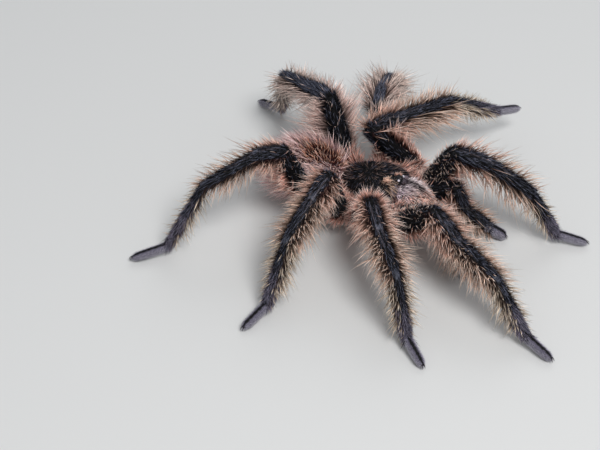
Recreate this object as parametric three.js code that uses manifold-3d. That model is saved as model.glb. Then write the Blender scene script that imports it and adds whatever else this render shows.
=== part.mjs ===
// A mature male tarantula standing on level ground, as a still life-size model.
//
// Millimetres, +Z up. The spider faces -Y and its own left side is +X. Seven feet and
// both palps rest at z = 0, the left second leg is lifted to feel its way, and the
// finished group stands centred over the origin.
// Every solid is the outer form of the animal, out to the tips of its hair, parted
// by thin cuts where one named piece ends and the next begins.

import * as THREE from "three";
import { mergeVertices } from "three/addons/utils/BufferGeometryUtils.js";
import Module from "manifold-3d";

const wasm = await Module();
wasm.setup();

// ---------------------------------------------------------------- dimensions

const CUT = 0.3; // width of the cut between two pieces
const LIFT = 0.7; // lowest level of everything but the feet
const SLIVER = 0.03; // finest detail that is kept where two pieces are cut apart

// The prosoma: its carapace, and the ring of hips around it.
const CARAPACE = {
  length: 22,
  width: 20,
  frontWidth: 13,
  rearWidth: 8,
  top: 18.2,
  rim: 11.6,
  rearDrop: 3.6,
  foveaDepth: 0.9,
  coat: 0.8,
};
const MOUND = { y: -9.5, halfWidth: 1.9, halfLength: 1.6, height: 1.5 };
const EYE = { radius: 0.45, apart: 1.15, ahead: 0.95, above: 0.55 };
const STERNUM = { halfWidth: 8, halfLength: 10.5, top: 9.6, bottom: 2.6 };
const HIP_HEIGHT = 10.5;
const COXA = { root: 3.5, rootHeight: 6.3, bendHeight: 7.4, radius: 3.8, endRadius: 4.2, riseOfEnd: 0.9 };

// The jaws, side by side below the front rim, with the fangs folded under them.
const JAW = { x: 2.6, halfWidth: 2.3, rootRadius: 2.9, domeRadius: 3.5, tipRadius: 2.1, coat: 1.0 };
const FANG = { x: 2.2, radius: 1.0, tip: 0.28 };

// The opisthosoma, swung to the spider's right and drooping a little.
const ABDOMEN = {
  swing: 26,
  droop: 7,
  waist: 12.5,
  length: 30.5,
  halfWidth: 13.9,
  rise: 12.7,
  depth: 11.2,
  height: 12.9,
  stalkRadius: 2.2,
};
const SPINNERET = { length: 6.2, root: 1.15, tip: 0.5, spread: 1.7, splay: 16, pitch: 14 };

// Lengths of the pieces of each pair of legs, and of the palps.
const LENGTHS = {
  1: { femur: 23, patella: 12, tibia: 18.5, metatarsus: 19, tarsus: 12 },
  2: { femur: 21.5, patella: 11, tibia: 17, metatarsus: 19, tarsus: 12 },
  3: { femur: 19.5, patella: 9.5, tibia: 15.5, metatarsus: 20, tarsus: 11.5 },
  4: { femur: 24, patella: 10, tibia: 20, metatarsus: 26, tarsus: 13 },
  palp: { femur: 13, patella: 8.5, tibia: 11.5, tarsus: 7 },
};

// Radius of the flesh at both ends of a piece, and how far the hair stands out from
// it above, to the sides and below: [at its start, halfway along, at its end].
const FORM = {
  femur: { flesh: [3.2, 3.0], above: [0.9, 1.6, 1.6], beside: [1.6, 5.0, 4.4], below: [1.2, 5.2, 1.8] },
  patella: { flesh: [3.0, 2.8], above: [1.6, 2.8, 2.4], beside: [4.2, 5.9, 5.6], below: [1.2, 4.4, 4.2] },
  tibia: { flesh: [2.7, 2.3], above: [2.4, 2.6, 1.9], beside: [5.6, 6.5, 5.0], below: [4.2, 5.4, 4.1] },
  metatarsus: { flesh: [2.1, 1.8], above: [1.9, 1.7, 0.8], beside: [5.0, 4.3, 1.6], below: [4.1, 3.1, 1.2] },
  tarsus: { flesh: [1.45, 1.25], above: [0.4, 0.35, 0.3], beside: [0.8, 0.6, 0.4], below: [0.8, 3.2, 2.4] },
  palpFoot: { flesh: [2.2, 2.0], above: [0.6, 0.6, 0.4], beside: [1.6, 1.3, 0.6], below: [0.9, 2.8, 2.0] },
  raised: { flesh: [1.45, 1.25], above: [0.4, 0.4, 0.3], beside: [0.8, 0.6, 0.4], below: [0.8, 0.9, 0.5] },
};
const PALP_GIRTH = 0.84;
const FOOT = { heel: 3.8, toe: 1.65, palpToe: 1.6 };
const ELBOW = 2.4; // how far a sharp bend stands out past its joint
const CREASE = 0.45; // how far along a piece the inside of a bend may cut it away
const SHARP = -0.5; // cosine of a bend so sharp that the pieces lie against each other
const HOOK = { back: 1.6, reach: 5.2, root: 1.0, tip: 0.45 };

// The stance. A hip is told by its distance from the carapace's centre and its
// bearing, and each piece by its bearing and its pitch, in degrees. A bearing of 0
// is straight ahead and 90 straight out to the limb's own side. The last two pieces
// of a leg that stands have no pitch here, because the floor sets it.
const STANCE = {
  leg_right_1: {
    pair: 1,
    side: -1,
    size: 1.0,
    hip: [21.8, 39],
    bearing: { femur: 15, patella: 17, tibia: 16, metatarsus: 14, tarsus: 14 },
    pitch: { femur: 41, patella: -24, tibia: -12 },
  },
  leg_right_2: {
    pair: 2,
    side: -1,
    size: 1.02,
    hip: [18.5, 70],
    bearing: { femur: 48, patella: 44, tibia: 38, metatarsus: 35, tarsus: 32 },
    pitch: { femur: 50, patella: -11, tibia: -16 },
  },
  leg_right_3: {
    pair: 3,
    side: -1,
    size: 1.07,
    hip: [18, 101],
    bearing: { femur: 79, patella: 85, tibia: 86, metatarsus: 88, tarsus: 95 },
    pitch: { femur: 65, patella: -13, tibia: -20 },
  },
  leg_right_4: {
    pair: 4,
    side: -1,
    size: 0.985,
    femurShare: 0.9,
    hip: [24, 135],
    bearing: { femur: 126, patella: 115, tibia: 122, metatarsus: 124, tarsus: 128 },
    pitch: { femur: 66, patella: 13, tibia: -20 },
  },
  leg_left_1: {
    pair: 1,
    side: 1,
    size: 0.95,
    hip: [18.5, 38],
    bearing: { femur: -11, patella: 15, tibia: 19, metatarsus: 21, tarsus: 22 },
    pitch: { femur: 60, patella: -8, tibia: -30 },
  },
  leg_left_2: {
    pair: 2,
    side: 1,
    size: 1.16,
    femurShare: 0.85,
    hip: [19.6, 78],
    bearing: { femur: 216, patella: 67, tibia: 62, metatarsus: 62, tarsus: 74 },
    pitch: { femur: 44, patella: 0, tibia: 2, metatarsus: -27, tarsus: -18 },
  },
  leg_left_3: {
    pair: 3,
    side: 1,
    size: 0.99,
    hip: [16.8, 107],
    bearing: { femur: 136, patella: 112, tibia: 109, metatarsus: 109, tarsus: 109 },
    pitch: { femur: 29, patella: 15, tibia: -17 },
  },
  leg_left_4: {
    pair: 4,
    side: 1,
    size: 0.92,
    hip: [20.8, 153],
    bearing: { femur: 169, patella: 167, tibia: 156, metatarsus: 132, tarsus: 172 },
    pitch: { femur: 67, patella: -5, tibia: -15 },
  },
  palp_right: {
    pair: "palp",
    side: -1,
    size: 1.0,
    hip: [17.3, 25],
    bearing: { femur: 10, patella: 10, tibia: 10, tarsus: 10 },
    pitch: { femur: 30, patella: -23 },
  },
  palp_left: {
    pair: "palp",
    side: 1,
    size: 0.96,
    hip: [17.4, 25],
    bearing: { femur: 6, patella: 10, tibia: 10, tarsus: 10 },
    pitch: { femur: 28, patella: -67 },
  },
};

const SIDES = 10; // corners of a limb's section

// ---------------------------------------------------------------- small tools

const UP = new THREE.Vector3(0, 0, 1);
const rad = THREE.MathUtils.degToRad;
const mix = THREE.MathUtils.lerp;
const { clamp } = THREE.MathUtils;

function vec(x, y, z) {
  return new THREE.Vector3(x, y, z);
}

// The unit vector of a bearing and a pitch on one side of the spider.
function toward(side, bearing, pitch) {
  const level = Math.cos(rad(pitch));
  return vec(
    side * Math.sin(rad(bearing)) * level,
    -Math.cos(rad(bearing)) * level,
    Math.sin(rad(pitch)),
  );
}

// The part of a vector that stands square to an axis, as a unit vector.
function squareTo(axis, vector) {
  return vector.clone().addScaledVector(axis, -axis.dot(vector)).normalize();
}

// A closed solid through a row of rings that all have the same number of corners.
function solidThrough(rings) {
  const count = rings[0].length;
  const points = rings.flat();
  const faces = [];
  for (let i = 0; i + 1 < rings.length; i += 1) {
    for (let k = 0; k < count; k += 1) {
      const a = i * count + k;
      const b = i * count + ((k + 1) % count);
      faces.push(a, b, b + count, a, b + count, a + count);
    }
  }
  const last = (rings.length - 1) * count;
  const caps = [
    [0, true],
    [last, false],
  ];
  for (const [start, flip] of caps) {
    const middle = points.length;
    const ring = points.slice(start, start + count);
    points.push(ring.reduce((sum, p) => sum.add(p), vec(0, 0, 0)).divideScalar(count));
    for (let k = 0; k < count; k += 1) {
      const a = start + k;
      const b = start + ((k + 1) % count);
      faces.push(...(flip ? [middle, b, a] : [middle, a, b]));
    }
  }
  const geometry = new THREE.BufferGeometry().setFromPoints(points);
  geometry.setIndex(faces);
  return toManifold(geometry);
}

// A three.js geometry as a manifold solid, turned the right way out.
function toManifold(source) {
  const geometry = mergeVertices(source.clone().deleteAttribute("normal").deleteAttribute("uv"), 1e-4);
  const triVerts = new Uint32Array(geometry.index.array);
  const vertProperties = geometry.attributes.position.array;
  const made = new wasm.Manifold(new wasm.Mesh({ numProp: 3, vertProperties, triVerts }));
  if (made.volume() > 0) {
    return made;
  }
  triVerts.reverse();
  return new wasm.Manifold(new wasm.Mesh({ numProp: 3, vertProperties, triVerts }));
}

// The largest separate body of a solid, so that no crumb or sliver is left by a cut.
function mainBody(solid) {
  const bodies = solid.asOriginal().simplify(SLIVER).decompose();
  return bodies.sort((a, b) => b.volume() - a.volume())[0];
}

function toGeometry(solid) {
  const mesh = solid.getMesh();
  const geometry = new THREE.BufferGeometry();
  geometry.setAttribute("position", new THREE.BufferAttribute(mesh.vertProperties, 3));
  geometry.setIndex(new THREE.BufferAttribute(mesh.triVerts, 1));
  geometry.computeVertexNormals();
  return geometry;
}

// An oval ring round a centre: half its width, its rise above and its depth below.
function ovalRing(centre, across, up, halfWidth, rise, depth, count) {
  const ring = [];
  for (let k = 0; k < count; k += 1) {
    const angle = (2 * Math.PI * k) / count;
    const height = Math.sin(angle);
    ring.push(
      centre
        .clone()
        .addScaledVector(across, Math.cos(angle) * halfWidth)
        .addScaledVector(up, height * (height > 0 ? rise : depth)),
    );
  }
  return ring;
}

// A tapering horn along a curve, such as a fang or a spinneret.
function horn(curve, rootRadius, tipRadius, grow, count = 8, steps = 5) {
  const rings = [];
  for (let i = 0; i <= steps; i += 1) {
    const along = i / steps;
    const axis = curve.getTangent(along);
    const across = squareTo(axis, vec(1, 0, 0));
    const up = across.clone().cross(axis);
    const radius = mix(rootRadius, tipRadius, along) + grow;
    rings.push(ovalRing(curve.getPoint(along), across, up, radius, radius, radius, count));
  }
  return solidThrough(rings);
}

// Keeps a solid above a level by moving the corners of its rings that reach lower.
function aboveLevel(rings, level) {
  for (const ring of rings) {
    for (const point of ring) {
      point.z = Math.max(point.z, level);
    }
  }
  return rings;
}

// ---------------------------------------------------------------- the limbs

// The joints and directions of one limb, from its hip to its toe.
function poseLimb(stance) {
  const names = Object.keys(LENGTHS[stance.pair]);
  const hip = toward(stance.side, stance.hip[1], 0).multiplyScalar(stance.hip[0]);
  hip.z = HIP_HEIGHT;
  const joints = [hip];
  const axes = [];
  names.forEach((name, i) => {
    const share = name === "femur" ? (stance.femurShare ?? 1) : 1;
    const length = LENGTHS[stance.pair][name] * stance.size * share;
    const left = names.length - i;
    const toe = stance.pair === "palp" ? FOOT.palpToe : FOOT.toe;
    const end = left === 1 ? toe : FOOT.heel;
    const steepest = Math.asin((end - joints[i].z) / length);
    const pitch = stance.pitch[name] ?? THREE.MathUtils.radToDeg(steepest);
    const axis = toward(stance.side, stance.bearing[name], pitch);
    axes.push(axis);
    joints.push(joints[i].clone().addScaledVector(axis, length));
  });
  return { names, joints, axes };
}

// The direction that the back of a limb's piece faces. A femur's back is on the
// outside of the knee's bend, and the other pieces' backs face up.
function backOf(pose, index) {
  const axis = pose.axes[index];
  return index === 0 ? squareTo(axis, pose.axes[1]).negate() : squareTo(axis, UP);
}

// How far along a piece's axis the cut at a joint lies, for a corner at that offset.
function cutDistance(offset, axis, neighbour, shift) {
  const normal = axis.clone().add(neighbour).normalize();
  return (shift - offset.dot(normal)) / axis.dot(normal);
}

// The way that a limb leaves its hip: outward and up.
function trochanterAxis(pose) {
  const outward = vec(pose.joints[0].x, pose.joints[0].y, 0).normalize();
  return outward.addScaledVector(UP, COXA.riseOfEnd).normalize();
}

// A value between three that stand at the start, the middle and the end.
function through([start, middle, end], along) {
  const half = along < 0.5 ? [start, middle, along * 2] : [middle, end, along * 2 - 1];
  return mix(half[0], half[1], Math.sin((Math.PI / 2) * half[2]) ** 2);
}

// The name of the form that a limb's piece has. Feet differ with what they do.
function formOf(stance, name) {
  if (name !== "tarsus") {
    return name;
  }
  if (stance.pair === "palp") {
    return "palpFoot";
  }
  return stance.pitch.tarsus === undefined ? "tarsus" : "raised";
}

// One piece of a limb, from cut to cut.
function limbPiece(stance, index, grow) {
  const pose = poseLimb(stance);
  const name = pose.names[index];
  const form = FORM[formOf(stance, name)];
  const girth = stance.pair === "palp" ? PALP_GIRTH : 1;
  const axis = pose.axes[index];
  const start = pose.joints[index];
  const length = start.distanceTo(pose.joints[index + 1]);
  const back = backOf(pose, index);
  const across = axis.clone().cross(back);
  const before = index === 0 ? trochanterAxis(pose) : pose.axes[index - 1];
  const isLast = index === pose.names.length - 1;
  const after = isLast ? axis : pose.axes[index + 1];
  const stations = isLast ? [0, 0.2, 0.5, 0.8, 0.94, 1] : [0, 0.25, 0.5, 0.75, 1];
  const origin = vec(0, 0, 0);
  const rings = stations.map((along) => {
    const toe = isLast && along > 0.75 ? Math.sqrt(1 - ((along - 0.75) / 0.27) ** 2) : 1;
    const flesh = mix(form.flesh[0], form.flesh[1], along);
    const reach = (coat) => (flesh + through(coat, along)) * girth * toe + grow;
    const sizes = [reach(form.beside), reach(form.above), reach(form.below)];
    return ovalRing(origin, across, back, ...sizes, SIDES).map((offset) => {
      const near = clamp(cutDistance(offset, axis, before, CUT / 2 - grow), -ELBOW, length * CREASE);
      const far = clamp(cutDistance(offset, axis, after, grow - CUT / 2), -length * CREASE, ELBOW);
      const distance = mix(near, length + far, along);
      return start.clone().add(offset).addScaledVector(axis, distance);
    });
  });
  return solidThrough(aboveLevel(rings, isLast ? 0 - grow : LIFT - grow));
}

// The forked hooks below the end of a male's first shins, as one short spur.
function tibialHook(stance, grow) {
  const pose = poseLimb(stance);
  const axis = pose.axes[2];
  const below = backOf(pose, 2).negate();
  const inward = axis.clone().cross(below).multiplyScalar(-stance.side);
  const lean = below.clone().addScaledVector(inward, 0.35).addScaledVector(axis, 0.25).normalize();
  const root = pose.joints[3].clone().addScaledVector(axis, -HOOK.back * 2);
  const end = root.clone().addScaledVector(lean, HOOK.reach);
  const curl = end.clone().addScaledVector(axis, HOOK.back);
  const bend = root.clone().lerp(end, 0.7);
  return horn(new THREE.QuadraticBezierCurve3(root, bend, curl), HOOK.root, HOOK.tip, grow, 6, 3);
}

// The coxa and trochanter of one limb, from under the carapace out to the hip.
function hipPiece(stance, grow) {
  const pose = poseLimb(stance);
  const girth = stance.pair === "palp" ? PALP_GIRTH : 1;
  const hip = pose.joints[0];
  const outward = vec(hip.x, hip.y, 0).normalize();
  const leaving = trochanterAxis(pose);
  const across = outward.clone().cross(UP);
  const root = outward.clone().multiplyScalar(COXA.root).setZ(COXA.rootHeight);
  const bend = hip.clone().addScaledVector(leaving, -4.5).setZ(COXA.bendHeight);
  const path = new THREE.QuadraticBezierCurve3(root, bend, hip);
  const rings = [0, 0.65, 1].map((along) => {
    const axis = along === 1 ? leaving : path.getTangent(along);
    const up = across.clone().cross(axis);
    const radius = mix(COXA.radius, COXA.endRadius, along) * girth + grow;
    const ring = ovalRing(vec(0, 0, 0), across, up, radius, radius, radius, 7);
    return ring.map((offset) => {
      const cut = cutDistance(offset, axis, pose.axes[0], grow - CUT / 2);
      const slide = along === 1 ? Math.min(cut, ELBOW) : 0;
      return path.getPoint(along).add(offset).addScaledVector(axis, slide);
    });
  });
  return solidThrough(rings);
}

// ---------------------------------------------------------------- the body

// Half the carapace's width at a place along it, from 0 at the front to 1 behind.
function carapaceHalfWidth(along) {
  const { width, frontWidth, rearWidth } = CARAPACE;
  const end = mix(frontWidth, rearWidth, along) / 2;
  const swell = Math.sin(Math.PI * along ** 0.85) ** 0.8;
  return end + (width / 2 - mix(frontWidth, rearWidth, 0.5) / 2) * swell;
}

// Height of the carapace's ridge: a raised head, the dent of the fovea, a low rear.
function carapaceRidge(along) {
  const { top, rearDrop, foveaDepth } = CARAPACE;
  const rear = rearDrop * Math.max(0, (along - 0.3) / 0.7) ** 2;
  const dent = foveaDepth * Math.exp(-(((along - 0.62) / 0.1) ** 2));
  const brow = 0.7 * Math.max(0, 1 - along / 0.12);
  return top - rear - dent - brow;
}

function carapace(grow) {
  const { length, rim, coat } = CARAPACE;
  const stations = [0, 0.05, 0.17, 0.32, 0.48, 0.62, 0.76, 0.9, 0.97, 1];
  const rings = stations.map((along) => {
    const closing = along === 0 || along === 1 ? 0.86 : 1;
    const half = (carapaceHalfWidth(along) + coat + 0.6) * closing + grow;
    const ridge = carapaceRidge(along) + coat;
    const edge = rim + 1.2 * Math.max(0, 0.4 - along);
    const rise = (ridge - edge) * closing + grow;
    const centre = vec(0, mix(-length / 2 - grow - 0.6, length / 2 + grow + 0.8, along), edge);
    return ovalRing(centre, vec(1, 0, 0), UP, half, rise, 1.1 + grow, 14);
  });
  const mound = new THREE.SphereGeometry(1, 10, 6);
  const { y, halfWidth, halfLength, height } = MOUND;
  mound.scale(halfWidth + grow, halfLength + grow, height + grow);
  mound.translate(0, y, CARAPACE.top - 0.45);
  return solidThrough(rings).add(toManifold(mound));
}

// One of the two large front eyes, a bead set in the front of the eye mound.
function eye(side, grow) {
  const bead = new THREE.SphereGeometry(EYE.radius + grow, 8, 6);
  const height = CARAPACE.top + EYE.above;
  bead.translate((side * EYE.apart) / 2, MOUND.y - EYE.ahead, height);
  return toManifold(bead);
}

// A jaw: a domed root that comes forward from under the carapace and turns down.
function jaw(side, grow) {
  const { x, halfWidth, rootRadius, domeRadius, tipRadius, coat } = JAW;
  const path = new THREE.CatmullRomCurve3([
    vec(side * (x - 0.1), -8.6, 12.4),
    vec(side * x, -13.0, 13.9),
    vec(side * x, -16.8, 13.1),
    vec(side * x, -19.4, 10.6),
    vec(side * (x - 0.1), -20.0, 7.6),
  ]);
  const steps = 7;
  const rings = [];
  for (let i = 0; i <= steps; i += 1) {
    const along = i / steps;
    const axis = path.getTangent(along);
    const across = vec(1, 0, 0);
    const up = across.clone().cross(axis).negate();
    const fore = mix(rootRadius, domeRadius, Math.min(1, along * 2.5));
    const radius = mix(fore, tipRadius, Math.max(0, (along - 0.5) / 0.5) ** 1.5);
    const closing = i === steps ? 0.7 : 1;
    const tall = radius * closing + coat + grow;
    const wide = Math.min(halfWidth, radius) * closing + grow;
    rings.push(ovalRing(path.getPoint(along), across, up, wide, tall, tall, 12));
  }
  return solidThrough(rings);
}

// A fang, folded back under its jaw.
function fang(side, grow) {
  const x = side * FANG.x;
  const curve = new THREE.QuadraticBezierCurve3(
    vec(x, -19.6, 5.9),
    vec(x, -19.2, 3.2),
    vec(x * 0.8, -14.8, 2.8),
  );
  return horn(curve, FANG.radius, FANG.tip, grow, 8, 6);
}

// The breastplate below the carapace, with the ten hips growing out of it.
function underside(grow) {
  const { halfWidth, halfLength, top, bottom } = STERNUM;
  const plate = new THREE.SphereGeometry(1, 10, 5);
  plate.scale(halfWidth + grow, halfLength + grow, (top - bottom) / 2 + grow);
  plate.translate(0, 0.5, (top + bottom) / 2);
  const hips = Object.values(STANCE).map((stance) => hipPiece(stance, grow));
  return hips.reduce((sum, hip) => sum.add(hip), toManifold(plate));
}

function abdomenAxis() {
  return toward(-1, 180 - ABDOMEN.swing, -ABDOMEN.droop);
}

// The egg-shaped abdomen, fullest behind the middle, with the narrow stalk in front.
function abdomen(grow) {
  const { length, halfWidth, rise, depth, height, waist, stalkRadius } = ABDOMEN;
  const axis = abdomenAxis();
  const across = axis.clone().cross(UP).normalize();
  const front = vec(0, waist, height);
  const stations = [0, 0.03, 0.1, 0.22, 0.38, 0.55, 0.7, 0.84, 0.94, 1];
  const rings = stations.map((along) => {
    const shifted = along ** 0.88;
    const round = Math.max(0.12, Math.sqrt(1 - (2 * shifted - 1) ** 2));
    const centre = front.clone().addScaledVector(axis, mix(-grow, length + grow, along));
    centre.z += 0.8 * Math.sin(Math.PI * along);
    return ovalRing(
      centre,
      across,
      UP,
      halfWidth * round + grow,
      rise * round + grow,
      depth * round + grow,
      16,
    );
  });
  const stalkEnds = [front.clone().addScaledVector(axis, -2.6), front.clone().addScaledVector(axis, 3)];
  stalkEnds[0].z -= 2.6;
  stalkEnds[1].z -= 1.5;
  const stalk = horn(new THREE.LineCurve3(...stalkEnds), stalkRadius, stalkRadius, grow, 8, 1);
  return solidThrough(aboveLevel(rings, LIFT)).add(stalk);
}

// One of the two long spinnerets at the end of the abdomen.
function spinneret(side, grow) {
  const { length, root, tip, spread, splay, pitch } = SPINNERET;
  const axis = abdomenAxis();
  const across = axis.clone().cross(UP).normalize();
  const start = vec(0, ABDOMEN.waist, ABDOMEN.height - 3.4)
    .addScaledVector(axis, ABDOMEN.length - 1.2)
    .addScaledVector(across, side * spread);
  const lean = Math.tan(rad(splay));
  const lift = vec(0, 0, Math.tan(rad(pitch)));
  const out = axis.clone().addScaledVector(across, side * lean).add(lift).normalize();
  const end = start.clone().addScaledVector(out, length);
  return horn(new THREE.LineCurve3(start, end), root, tip, grow, 8, 3);
}

// ---------------------------------------------------------------- the pieces

const VELVET = { color: 0x17151a, roughness: 0.85, metalness: 0 };
const DUSKY = { color: 0x3a3138, roughness: 0.85, metalness: 0 };
const ROSY = { color: 0x8a6a66, roughness: 0.9, metalness: 0 };
const GLASS = { color: 0x050507, roughness: 0.08, metalness: 0 };
const HORN = { color: 0x120c0c, roughness: 0.25, metalness: 0 };

// Every piece: its name, its look, how it is made, and the pieces it meets at a cut
// of its own. A piece gives way to those that stand before it in the list.
const pieces = [];

function addPiece(name, look, make, meets = []) {
  pieces.push({ name, look, make, meets });
}

for (const [sideName, side] of [
  ["left", 1],
  ["right", -1],
]) {
  addPiece(`eye_${sideName}`, GLASS, (grow) => eye(side, grow));
}
addPiece("carapace", VELVET, carapace);
for (const [sideName, side] of [
  ["left", 1],
  ["right", -1],
]) {
  addPiece(`chelicera_${sideName}`, ROSY, (grow) => jaw(side, grow));
  addPiece(`fang_${sideName}`, HORN, (grow) => fang(side, grow));
}
addPiece("abdomen", ROSY, abdomen);
for (const [sideName, side] of [
  ["left", 1],
  ["right", -1],
]) {
  addPiece(`spinneret_${sideName}`, DUSKY, (grow) => spinneret(side, grow));
}

const LOOKS = { femur: VELVET, patella: DUSKY, tibia: DUSKY, metatarsus: DUSKY, tarsus: VELVET };
for (const [limb, stance] of Object.entries(STANCE)) {
  const { names, axes } = poseLimb(stance);
  names.forEach((name, index) => {
    const make = (grow) => {
      const piece = limbPiece(stance, index, grow);
      if (stance.pair === 1 && name === "tibia") {
        return piece.add(tibialHook(stance, grow));
      }
      if (stance.pair === 1 && name === "metatarsus") {
        return piece.subtract(tibialHook(stance, CUT - grow));
      }
      return piece;
    };
    const mitred = index > 0 && axes[index].dot(axes[index - 1]) > SHARP;
    const meets = mitred ? [`${limb}_${names[index - 1]}`] : [];
    addPiece(`${limb}_${name}`, LOOKS[name], make, meets);
  });
}
addPiece("sternum_and_hips", ROSY, underside);

// Two boxes that come within a cut's width of each other.
function boxesMeet(a, b) {
  return [0, 1, 2].every((i) => a.min[i] < b.max[i] + CUT && b.min[i] < a.max[i] + CUT);
}

const spider = new THREE.Group();
const placed = [];
for (const { name, look, make, meets } of pieces) {
  let solid = make(0);
  const box = solid.boundingBox();
  for (const other of placed) {
    if (!meets.includes(other.name) && boxesMeet(box, other.box)) {
      solid = solid.subtract(other.make(CUT));
    }
  }
  solid = mainBody(solid);
  placed.push({ name, make, box });
  const mesh = new THREE.Mesh(toGeometry(solid), new THREE.MeshStandardMaterial(look));
  mesh.name = name;
  spider.add(mesh);
}

// The model stands centred over the origin, on its feet.
const bounds = new THREE.Box3().setFromObject(spider);
const middle = bounds.getCenter(vec(0, 0, 0));
spider.position.set(-middle.x, -middle.y, -bounds.min.z);

export default spider;
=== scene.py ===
# A mature male tarantula as a still, life-size model: one skin, its hair, eyes, fangs
# and claws. Shapes are worked out in millimetres in the spider's own frame, where it
# faces -Y, its left side is +X and the floor is z = 0, and then put in the row's frame.

import math

import bpy
import numpy as np
from mathutils import Matrix, Vector
from mathutils.kdtree import KDTree


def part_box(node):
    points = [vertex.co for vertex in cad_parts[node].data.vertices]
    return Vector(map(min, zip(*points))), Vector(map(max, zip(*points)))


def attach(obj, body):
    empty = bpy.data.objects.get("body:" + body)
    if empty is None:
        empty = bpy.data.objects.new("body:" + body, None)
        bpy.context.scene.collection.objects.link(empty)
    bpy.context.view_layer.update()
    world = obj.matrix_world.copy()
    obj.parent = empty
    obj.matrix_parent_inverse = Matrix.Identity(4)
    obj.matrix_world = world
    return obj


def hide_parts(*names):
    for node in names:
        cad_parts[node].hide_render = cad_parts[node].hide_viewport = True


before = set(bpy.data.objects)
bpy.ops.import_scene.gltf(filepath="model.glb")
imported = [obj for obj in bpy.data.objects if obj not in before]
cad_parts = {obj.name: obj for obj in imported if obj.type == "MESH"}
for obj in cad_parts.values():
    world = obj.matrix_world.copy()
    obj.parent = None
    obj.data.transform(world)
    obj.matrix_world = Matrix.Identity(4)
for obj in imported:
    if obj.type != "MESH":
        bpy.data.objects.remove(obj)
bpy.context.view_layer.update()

# ---- the frame

MM = 0.001
FRONT_OVERHANG = 0.1  # how much less the carapace's solid reaches forward than back
low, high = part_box("carapace")
SHIFT = np.array([(low.x + high.x) / 2, (low.y + high.y) / 2 - FRONT_OVERHANG * MM, 0.0])
UP = np.array([0.0, 0.0, 1.0])


def rgb(code):
    """The linear colour of a six-digit sRGB code."""
    value = np.array([int(code[i : i + 2], 16) for i in (0, 2, 4)]) / 255
    return np.where(value <= 0.04045, value / 12.92, ((value + 0.055) / 1.055) ** 2.4)


def unit(v):
    return v / np.maximum(np.linalg.norm(v, axis=-1, keepdims=True), 1e-9)


def square_to(axis, v):
    return unit(v - axis * (axis * v).sum(-1, keepdims=True))


def mix(a, b, t):
    return a + (b - a) * t


def bell(x, width):
    """1 where x is 0, falling away on both sides."""
    return np.exp(-((x / width) ** 2))


def blend(a, b, share):
    """A mixture of two colours, or of colours' codes, for each of many points."""
    a, b = (rgb(c) if isinstance(c, str) else c for c in (a, b))
    return mix(a, b, share[:, None])


def smooth(low, high, x):
    """0 below low, 1 above high, and a soft step between."""
    t = np.clip((x - low) / (high - low), 0, 1)
    return t * t * (3 - 2 * t)


def fade(low, high, x):
    """1 below low, 0 above high."""
    return 1 - smooth(low, high, x)


def dome(along, least):
    """How full a rounded shape is at a place along it; its ends stay a little open."""
    return math.sqrt(max(1 - (2 * along - 1) ** 2, least))


def toward(side, bearing, pitch):
    """A unit vector. Bearing 0 is straight ahead and 90 out to the limb's own side."""
    level = math.cos(math.radians(pitch))
    b = math.radians(bearing)
    return np.array([side * math.sin(b) * level, -math.cos(b) * level, math.sin(math.radians(pitch))])


def bezier(a, b, c, count):
    t = np.linspace(0, 1, count)[:, None]
    return a * (1 - t) ** 2 + 2 * b * t * (1 - t) + c * t**2


# ---- the measures

LEG = ("femur", "patella", "tibia", "metatarsus", "tarsus")
PALP = (*LEG[:3], "tarsus")
# The lengths of a limb's pieces, for each pair of legs and the palps.
LENGTHS = {
    1: (23, 12, 18.5, 19, 12),
    2: (21.5, 11, 17, 19, 12),
    3: (19.5, 9.5, 15.5, 20, 11.5),
    4: (24, 10, 20, 26, 13),
    "palp": (13, 8.5, 11.5, 7),
}

# Radius of the flesh at both ends, and how far the hair stands out from it above, to
# the sides and below: at the piece's start, halfway along and at its end.
FORM = {
    "femur": ((3.2, 3.0), (0.9, 1.6, 1.6), (1.6, 5.0, 4.4), (1.2, 5.2, 1.8)),
    "patella": ((3.0, 2.8), (1.6, 2.8, 2.4), (4.2, 5.9, 5.6), (1.2, 4.4, 4.2)),
    "tibia": ((2.7, 2.3), (2.4, 2.6, 1.9), (5.6, 6.5, 5.0), (4.2, 5.4, 4.1)),
    "metatarsus": ((2.1, 1.8), (1.9, 1.7, 0.8), (5.0, 4.3, 1.6), (4.1, 3.1, 1.2)),
    "tarsus": ((1.45, 1.25), (0.4, 0.35, 0.3), (0.8, 0.6, 0.4), (0.8, 3.2, 2.4)),
    "palp_foot": ((2.2, 2.0), (0.6, 0.6, 0.4), (1.6, 1.3, 0.6), (0.9, 2.8, 2.0)),
}
# The hind legs' flesh is slimmer than that from the shin on, and their coat deeper.
HIND_SLIM = {"tibia": (0.88, 0.78), "metatarsus": (0.8, 0.8)}
PALP_GIRTH = 0.84
HEEL, TOE, PALP_TOE = 3.8, 1.65, 1.6
# The hip: the height of its outer end, its radius, how far from the middle and how high
# it starts, and the height of its bend.
HIP_HEIGHT, HIP_RADIUS, HIP_START_OUT, HIP_START_HEIGHT, HIP_BEND_HEIGHT = 10.5, 3.15, 4, 7.4, 8.2
# How far a piece of a limb reaches into the one before and the one after it, and a thigh
# into its hip, and the steps of its surface.
OVERLAP, HIP_OVERLAP, STATION_STEP = 0.9, 1.4, 0.9

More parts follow.
